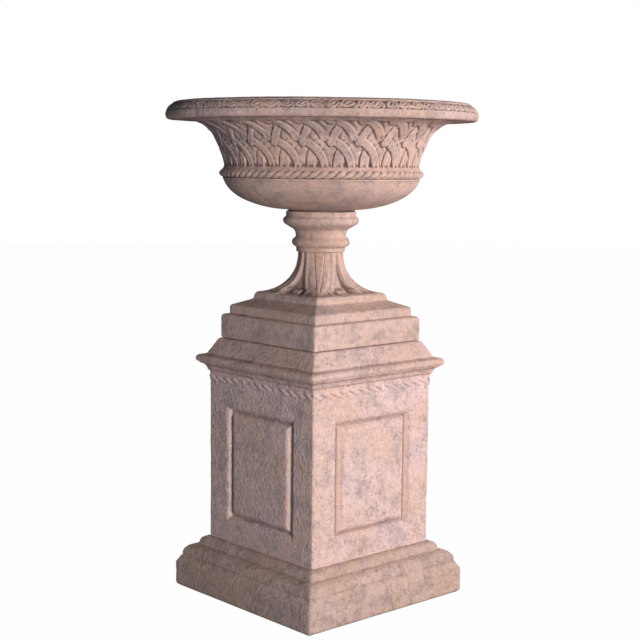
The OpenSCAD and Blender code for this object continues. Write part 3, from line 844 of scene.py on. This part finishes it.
def throughPoints(points, count):
    # smooth line through the points
    p = np.array(points)
    p = np.concatenate([p[:1] * 2 - p[1:2], p, p[-1:] * 2 - p[-2:-1]])
    t = np.linspace(0, len(points) - 1.0001, count)
    i = t.astype(int)
    t = (t - i)[:, None]
    a, b, c, d = p[i], p[i + 1], p[i + 2], p[i + 3]
    curve = (2 * a - 5 * b + 4 * c - d) * t * t
    return 0.5 * (2 * b + (c - a) * t + curve + (3 * b - a - 3 * c + d) * t ** 3)


def nearStrap(along, up, pitch, reach, points):
    # distance to the middle line of a strap, how far to its right, and its level there
    line = throughPoints(points, 70)
    ahead = np.gradient(line[:, :2], axis=0) * (pitch, reach)
    ahead /= np.hypot(ahead[:, 0], ahead[:, 1])[:, None]
    part = along - np.floor(along)
    best = np.full(along.shape, 1.0)
    side = np.zeros(along.shape)
    level = np.zeros(along.shape)
    first = math.floor(-max(line[:, 0]))
    last = math.ceil(1 - min(line[:, 0]))
    for k in range(first, last + 1):
        for (x, y, high), (goX, goY) in zip(line, ahead):
            dx = (part - x - k) * pitch
            dy = (up - y) * reach
            far = np.hypot(dx, dy)
            closer = far < best
            best = np.where(closer, far, best)
            side = np.where(closer, dy * goX - dx * goY, side)
            level = np.where(closer, high, level)
    return best, side, level


def weave(along, up, pitch, reach):
    # height of the woven straps, from 0 at the bottom of the carving to 1 on its face
    b = bowlSize
    height = np.full(along.shape, b["ground"])
    part = along - np.floor(along)
    for x, y, wide, tall, deep in pockets:
        for k in (-1, 0, 1):
            height -= deep * np.exp(-((part - x - k) * pitch / wide) ** 2 - ((up - y) * reach / tall) ** 2)
    for half, points in straps.values():
        far, side, level = nearStrap(along, up, pitch, reach, points)
        body = smooth(half - far, -0.0004, 0.0020)
        ridge = b["ridge"] * np.exp(-((side - half * 0.72) / (half * 0.24)) ** 2)
        dished = b["dished"] * np.clip(1 - (side / (half * 0.8)) ** 2, 0, 1)
        height = height + (level + ridge - dished - height) * body
        lower = smooth(-side / np.maximum(far, 1e-6), -0.55, 0.25)
        rising = smooth(level, 0.60, 0.80)
        height -= b["groove"] * lower * rising * np.exp(-((far - half - 0.0004) / 0.0017) ** 2)
    return np.clip(height, 0, 1.1)


def rimScrolls(along, up):
    # row of small scrolled leaves: a curled edge round a slanting bud, with darts between them
    part = along - np.floor(along) - 0.5
    x = part * 2.0 - 0.25 * up
    y = up
    curl = np.hypot(x / 0.86, (y - 0.05) / 0.92)
    edge = np.exp(-((curl - 0.82) / 0.17) ** 2) * (1 - 0.75 * smooth(y + 0.4 * x, 0.35, 0.8))
    bud = np.exp(-(((x * 0.85 - y * 0.45) / 0.26) ** 2 + ((y * 0.85 + x * 0.45) / 0.62) ** 2))
    dart = np.exp(-((abs(x) - 1.0) / 0.12) ** 2) * smooth(-y, -0.5, 0.6)
    return np.clip(np.maximum(np.maximum(edge, bud), dart), 0, 1)


def makeBowl():
    b = bowlSize
    low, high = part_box("bowl")
    rim = high.x
    waist = b["waist"]
    cableZ = low.z + b["belly"] + 0.003
    waistZ = cableZ + b["cable"]
    friezeZ = waistZ + b["flare"]
    coveZ = friezeZ + b["frieze"]
    underZ = coveZ + b["coveHeight"]
    wallTop = np.array([waist + b["lean"], coveZ])
    wallTurn = np.array([waist + 0.3 * b["lean"], friezeZ + b["frieze"] / 2])
    coveTurn = wallTop + (wallTop - wallTurn) * b["coveHeight"] / (b["frieze"] / 2)
    coveTop = underZ + b["underRise"]
    widestZ = underZ + b["widest"]
    lipR = rim - b["round"] - b["flat"]
    inner = b["waist"] - b["wall"]
    floorZ = low.z + b["floor"]
    flareTop = high.z - b["lipDrop"]
    flareZ = friezeZ + b["frieze"] * 0.55
    filletZ = cableZ - b["cable"] - b["quirk"]
    section = Section()
    section.lay([(b["hole"], low.z), (b["seat"], low.z)], 0.025, 1, 0)
    belly = arc(b["seat"], low.z + b["belly"], b["waist"] + 0.003 - b["seat"], b["belly"], 270, 352, 20)
    section.lay(belly[1:2], 0.01, 1, 0.5)
    section.lay(belly[2:], 0.02, 1, 1)
    section.lay([(waist + 0.0030, filletZ - 0.0025), (waist + 0.0030, filletZ)], 0.003, 1, 1)
    cable = arc(waist + 0.002, cableZ, b["cable"], b["cable"], -90, 40, 10)
    section.lay([(waist + 0.0026, filletZ + 0.001)] + cable, 0.01, 1, 1)
    flare = swoop(cable[-1], (waist + 0.001, waistZ + 0.001), (waist, friezeZ), 4)
    section.lay(flare[1:], 0.0026, 1, 1)
    section.lay(swoop((waist, friezeZ), wallTurn, wallTop, 23)[1:], 0.01, 1, 1)
    cove = swoop(wallTop, coveTurn, (wallTop[0] + b["coveWidth"], coveTop), 23)
    section.lay(cove[1:-1], 0.01, 1, 1)
    roll = arc(rim - b["roll"], widestZ, b["roll"], b["rollHeight"], 240, 360, 9)
    section.lay(roll, 0.018, 1, 1)
    section.lay(arc(rim - b["round"], widestZ, b["round"], high.z - widestZ, 6, 90, 20), 0.01, 1, 1)
    section.lay([(lipR, high.z)], 0.010, 1, 1)
    section.lay(arc(lipR, flareTop, b["lip"], b["lipDrop"], 90, 180, 4)[1:], 0.01, 1, 1)
    inside = arc(lipR - b["lip"], flareZ, lipR - b["lip"] - inner, flareTop - flareZ, 90, 180, 9)
    section.lay(inside[1:], 0.03, 1, 1)
    dish = arc(b["floorFlat"], floorZ + b["dish"], inner - b["floorFlat"], b["dish"], 0, -90, 10)
    section.lay(dish, 0.06, 1, 1)
    section.lay([(b["hole"], floorZ)], 0.018, 1, 0.3)
    section.close(0.016)
    stone = Stone(section, turnedColumns(b["columns"]))
    rows = stone.rows
    stepLength = np.hypot(*(rows[1:, :2] - rows[:-1, :2]).T)
    walked = np.concatenate([[0], np.cumsum(stepLength)])
    outer = (rows[:, 0] > waist - 0.003) & (np.arange(len(rows)) < len(rows) * 0.75)
    angle = stone.columns.angle / (2 * math.pi)
    # cable moulding
    cableRows = outer & (abs(rows[:, 1] - cableZ) < b["cable"] * 0.999) & (rows[:, 0] > waist + 0.0021)
    turnUp = (rows[:, 1:2] - cableZ) / b["cable"]
    bulge = np.degrees(np.arcsin(np.clip(turnUp, -1, 1))) / 90
    twist = strand(angle * b["cableStrands"] * np.ones_like(turnUp), bulge, b["cableSlant"], 0.55)
    fade = 0.45 + 0.55 * np.sqrt(np.clip(1 - bulge * bulge, 0, 1))
    stone.push(np.where(cableRows[:, None], -b["cableDeep"] * (1 - twist) * fade, 0))
    # woven frieze
    startRow = int(np.argmin(abs(rows[:, 1] - (friezeZ + b["weaveLow"])) + 10 * ~outer))
    inCove = outer & (rows[:, 1] > coveZ) & (rows[:, 1] < underZ)
    endRow = int(np.argmin(abs(rows[:, 0] - b["weaveReach"]) + 10 * ~inCove))
    reach = walked[endRow] - walked[startRow]
    up = ((walked - walked[startRow]) / reach)[:, None]
    band = slice(startRow, endRow + 1)
    pitch = 2 * math.pi * (waist + 0.020) / b["repeats"]
    along = angle * b["repeats"] - b["turn"] + np.zeros_like(up[band])
    upBand = up[band] * np.ones_like(along)
    straying = 0.03 * lumps(stone.points[band], 0.06, 5)
    height = weave(along + straying, upBand, pitch, reach)
    ends = smooth(upBand, -0.001, 0.04) * (1 - smooth(upBand, 0.965, 1.0))
    carve = np.zeros(stone.z.shape)
    carve[band] = b["weaveDeep"] * (1 - height) * ends
    # scrolls on the rim's shoulder
    rimRows = (rows[:, 0] > rim - b["round"] - 0.002) & (rows[:, 1] > widestZ)
    shoulder = np.degrees(np.arctan2((rows[:, 1] - widestZ) / (high.z - widestZ),
                                     np.maximum(rows[:, 0] - rim + b["round"], 1e-6) / b["round"]))[:, None]
    across = (shoulder - 36) / 25
    drift = 0.16 * lumps(stone.points, 0.022, 8)
    tilt = 0.30 * lumps(stone.points, 0.016, 9)
    scrolls = rimScrolls(angle * b["rimRepeats"] + drift, across + tilt) + 0.35 * np.maximum(0, tilt)
    inBand = rimRows[:, None] & (abs(across) < 1.0)
    fadeRim = smooth(1.0 - abs(across), 0, 0.14)
    carve += np.where(inBand, b["rimDeep"] * (1 - scrolls) * fadeRim, 0)
    stone.push(-carve)
    weatherStone(stone, 53, 0.55)
    place(makeStone("bowl_cast", stone, bowlStone), "bowl", "cast_stone")


makeBowl()
print("stage 5: the bowl, its weave and its rim are carved")


ringSize = {
    "step": 0.002, "gap": 0.0005, "washerEase": 0.0006, "sealEase": 0.0014,
    "beddingBore": 0.0165, "beddingEase": 0.0008, "beddingWobble": 0.0012,
}


def makeRing(name, node, slotName, material, inner, softness, count=96, wobble=0.0):
    # flat ring with eased edges: washer, seal or bedding
    (_, _, low), (outer, _, high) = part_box(node)
    middle = (low + high) / 2
    step = ringSize["step"]
    section = Section()
    corners = [(inner, middle), (inner, low), (outer, low), (outer, high), (inner, high), (inner, middle)]
    section.lay(soften(corners, softness)[:-1], step, 1, 1)
    section.close(step)
    stone = Stone(section, turnedColumns(count))
    if wobble:
        edge = smooth(stone.rows[:, 0:1], outer - 0.006, outer)
        stone.push(-edge * wobble * (0.5 + 0.5 * lumps(stone.points, 0.012, 71)))
    place(makeGrid(name, stone, material, 40), node, slotName)


tubeSize = {"wall": 0.0027, "threadPitch": 0.0018, "threadDeep": 0.0009, "threaded": 0.040, "columns": 72}
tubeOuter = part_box("drain_tube")[1].x


def makeTube():
    t = tubeSize
    low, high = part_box("drain_tube")
    outer = high.x
    inner = outer - t["wall"]
    finePitch = t["threadPitch"] / 5
    marks = [low.z + 0.001, low.z + t["threaded"], high.z - t["threaded"], high.z - 0.001]
    levels = spread(marks[:2], finePitch) + spread(marks[1:3], 0.02)[1:] + spread(marks[2:], finePitch)[1:]
    section = Section()
    section.lay([(inner, low.z), (outer - 0.001, low.z)], 0.01, 1, 0)
    section.lay([(outer, z) for z in levels], 1, 1, 1)
    section.lay([(outer - 0.001, high.z), (inner, high.z)], 0.01, 1, 0)
    section.close(0.04)
    stone = Stone(section, turnedColumns(t["columns"]))
    turn = stone.z / t["threadPitch"] - stone.columns.angle[None, :] / (2 * math.pi)
    tooth = abs((turn - np.floor(turn)) * 2 - 1)
    fromEnd = np.minimum(stone.z - low.z, high.z - stone.z)
    cut = tooth * (1 - smooth(fromEnd, t["threaded"] - 0.006, t["threaded"] - 0.001))
    stone.push(-stone.rows[:, 3:4] * t["threadDeep"] * cut)
    place(makeGrid("drain_tube_threaded", stone, brass, 60), "drain_tube", "brass_tube")


nutSize = {
    "gap": 0.0001, "chamfer": 0.0030, "lead": 0.0008, "faceIn": 0.0005, "coneIn": 0.0004, "cone": 1.75,
    "columns": 144,
}


def makeNut(name, node):
    # six-sided nut with both ends chamfered
    n = nutSize
    low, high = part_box(node)
    corner = high.x
    flat = corner * math.cos(math.pi / 6)
    inner = tubeOuter + n["gap"]
    section = Section()
    section.lay([(inner + n["lead"], low.z), (flat - n["faceIn"], low.z)], 0.004, 1)
    section.lay([(corner, z) for z in spread([low.z + n["coneIn"], low.z + n["chamfer"]], 0.0004)], 1, 1)
    section.lay([(corner, z) for z in spread([high.z - n["chamfer"], high.z - n["coneIn"]], 0.0004)], 0.004, 1)
    section.lay([(flat - n["faceIn"], high.z), (inner + n["lead"], high.z)], 0.004, 1)
    section.lay([(inner, high.z - 0.001), (inner, low.z + 0.001)], 0.006, 1)
    section.close(0.01)
    stone = Stone(section, turnedColumns(n["columns"]))
    angle = stone.columns.angle[None, :] * np.ones_like(stone.z)
    sixth = np.mod(angle + math.pi / 6, math.pi / 3) - math.pi / 6
    fromEnd = np.minimum(stone.z - low.z, high.z - stone.z)
    radius = np.minimum(flat / np.cos(sixth), flat - n["coneIn"] + fromEnd * n["cone"])
    side = stone.rows[:, 0] > flat
    stone.points[side] = stone.turned(radius * np.sin(angle), -radius * np.cos(angle), stone.z)[side]
    place(makeGrid(name, stone, brass, 28), node, "brass_nut")


plateSize = {"land": 0.006, "ease": 0.0008, "edge": 0.01, "corner": 0.002, "columnStep": 0.004}


def makePlate():
    p = plateSize
    low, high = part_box("bearing_plate")
    inner = tubeOuter + ringSize["gap"]
    middle = (low.z + high.z) / 2
    section = Section()
    section.lay([(inner, middle), (inner, low.z)], 0.003, 1)
    section.lay([(inner + p["land"], low.z)], 0.003, 1)
    edgeIn = high.x - p["edge"]
    edge = soften([(edgeIn, low.z), (high.x, low.z), (high.x, high.z), (edgeIn, high.z)], p["ease"])
    section.lay(edge, 0.006, 0)
    section.lay([(inner + p["land"], high.z), (inner, high.z)], 0.006, 1)
    section.close(0.003)
    stone = Stone(section, Columns(high.x, p["corner"], [], p["columnStep"]))
    place(makeGrid("bearing_plate_steel", stone, zinc, 40), "bearing_plate", "zinc_steel")


def makeDowels(name, node):
    # ribbed rods with eased ends
    d = dowelSize
    low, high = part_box(node)
    levels = spread([low.z + d["end"], high.z - d["end"]], d["ribPitch"] / 6)
    eased = d["radius"] - d["end"]
    rings = [(eased, low.z)]
    for z in levels:
        rib = 0.5 - 0.5 * math.cos(2 * math.pi * (z - low.z) / d["ribPitch"])
        rings.append((d["radius"] - d["rib"] * rib, z))
    rings.append((eased, high.z))
    piece = makeRods(name, [rings], d["sides"], rodSteel)
    shadeSoftly(piece.data, 40)
    place(piece, node, "dowel_steel")


makeDowels("base_dowel_rods", "base_dowels")
makeDowels("cap_dowel_rods", "cap_dowels")
makeTube()
makeNut("top_nut_brass", "top_nut")
makeNut("bottom_nut_brass", "bottom_nut")
makePlate()
bore = tubeOuter + ringSize["gap"]
makeRing("top_washer_steel", "top_washer", "zinc_steel", zinc, bore, ringSize["washerEase"])
makeRing("bottom_washer_steel", "bottom_washer", "zinc_steel", zinc, bore, ringSize["washerEase"])
makeRing("seal_washer_rubber", "seal_washer", "seal_rubber", sealRubber, bore, ringSize["sealEase"])
makeRing("bedding_ring_mortar", "bedding_ring", "bedding", mortar, ringSize["beddingBore"],
         ringSize["beddingEase"], 240, ringSize["beddingWobble"])
print("stage 6: dowels, drain tube, nuts, washers and bedding are in")


# Angles round the object: 0 in front of the -Y face, 90 in front of the +X face.
studio = {
    "floor": (0.32, 0.31, 0.30), "floorGlow": 0.985, "skyLight": 0.012, "aim": (0, 0, 0.75),
    "haze": (0.80, 0.79, 0.78), "floorRadius": 14.0,
    # watts, colour, angle round the object, rise, distance and size
    "lamps": {
        "front": (112, (1.0, 0.98, 0.95), -24, 5, 4.2, 0.9),
        "side": (134, (0.99, 0.99, 1.0), 50, 12, 4.2, 0.9),
        "fill": (15, (0.50, 0.72, 1.0), -90, -5, 4.0, 0.6),
        "back": (55, (1.0, 1.0, 1.0), 138, 9, 4.2, 1.2),
    },
    "azimuth": -42.17, "distance": 3.351, "height": 1.085, "pitch": 6.79, "roll": 0.58, "lens": 76.3,
}


def makeStudio():
    s = studio
    f = Finish(bpy.data.materials.new("studio_floor"))
    haze = f.noise(0.6, 2.0)
    colour = f.mix(haze * 0.04, s["floor"], s["haze"])
    matt = f.add("ShaderNodeBsdfDiffuse", {}, {"Color": colour})
    glow = f.add("ShaderNodeEmission", {}, {"Color": (1, 1, 1, 1)})
    seen = f.add("ShaderNodeLightPath", out="Is Camera Ray")
    shader = f.add("ShaderNodeMixShader", {}, {0: seen * s["floorGlow"], 1: matt, 2: glow})
    f.add("ShaderNodeOutputMaterial", {}, {"Surface": shader})
    points = [(s["floorRadius"] * math.cos(a), s["floorRadius"] * math.sin(a), 0)
              for a in np.arange(64) * 2 * math.pi / 64]
    floor = makeMesh("studio_floor", points, [list(range(64))], f.owner)
    aim = Vector(s["aim"])
    for name, (watts, colour, azimuth, rise, away, size) in s["lamps"].items():
        light = bpy.data.lights.new(name, "AREA")
        light.shape = "DISK"
        light.size = size
        light.energy = watts
        light.color = colour
        turn = math.radians(azimuth)
        rise = math.radians(rise)
        ray = Vector((math.sin(turn) * math.cos(rise), -math.cos(turn) * math.cos(rise), math.sin(rise)))
        holder = bpy.data.objects.new(name + "_softbox", light)
        holder.location = aim + ray * away
        holder.rotation_euler = ray.to_track_quat("Z", "Y").to_euler()
        bpy.context.scene.collection.objects.link(holder)
    air = Finish(bpy.data.worlds.new("studio_air"))
    seen = air.add("ShaderNodeLightPath", out="Is Camera Ray")
    strength = seen * (1 - s["skyLight"]) + s["skyLight"]
    sky = air.add("ShaderNodeBackground", {}, {"Color": (1, 1, 1, 1), "Strength": strength})
    air.add("ShaderNodeOutputWorld", {}, {"Surface": sky})
    bpy.context.scene.world = air.owner
    bpy.context.scene.view_settings.view_transform = "Standard"


def makeCamera():
    s = studio
    a = math.radians(s["azimuth"])
    tip = math.radians(s["pitch"])
    lean = math.radians(s["roll"])
    ahead = Vector((-math.sin(a), math.cos(a), 0))
    right = Vector((ahead.y, -ahead.x, 0))
    up = Vector((0, 0, 1))
    look = ahead * math.cos(tip) - up * math.sin(tip)
    over = up * math.cos(tip) + ahead * math.sin(tip)
    x = right * math.cos(lean) + over * math.sin(lean)
    y = over * math.cos(lean) - right * math.sin(lean)
    data = bpy.data.cameras.new("studio_camera")
    data.lens = s["lens"]
    data.sensor_width = 36
    camera = bpy.data.objects.new("studio_camera", data)
    facing = Matrix((x, y, -look)).transposed()
    camera.matrix_world = Matrix.Translation(-ahead * s["distance"] + up * s["height"]) @ facing.to_4x4()
    bpy.context.scene.collection.objects.link(camera)
    bpy.context.scene.camera = camera


makeStudio()
makeCamera()
print("stage 7: the studio is lit")

bpy.context.view_layer.update()
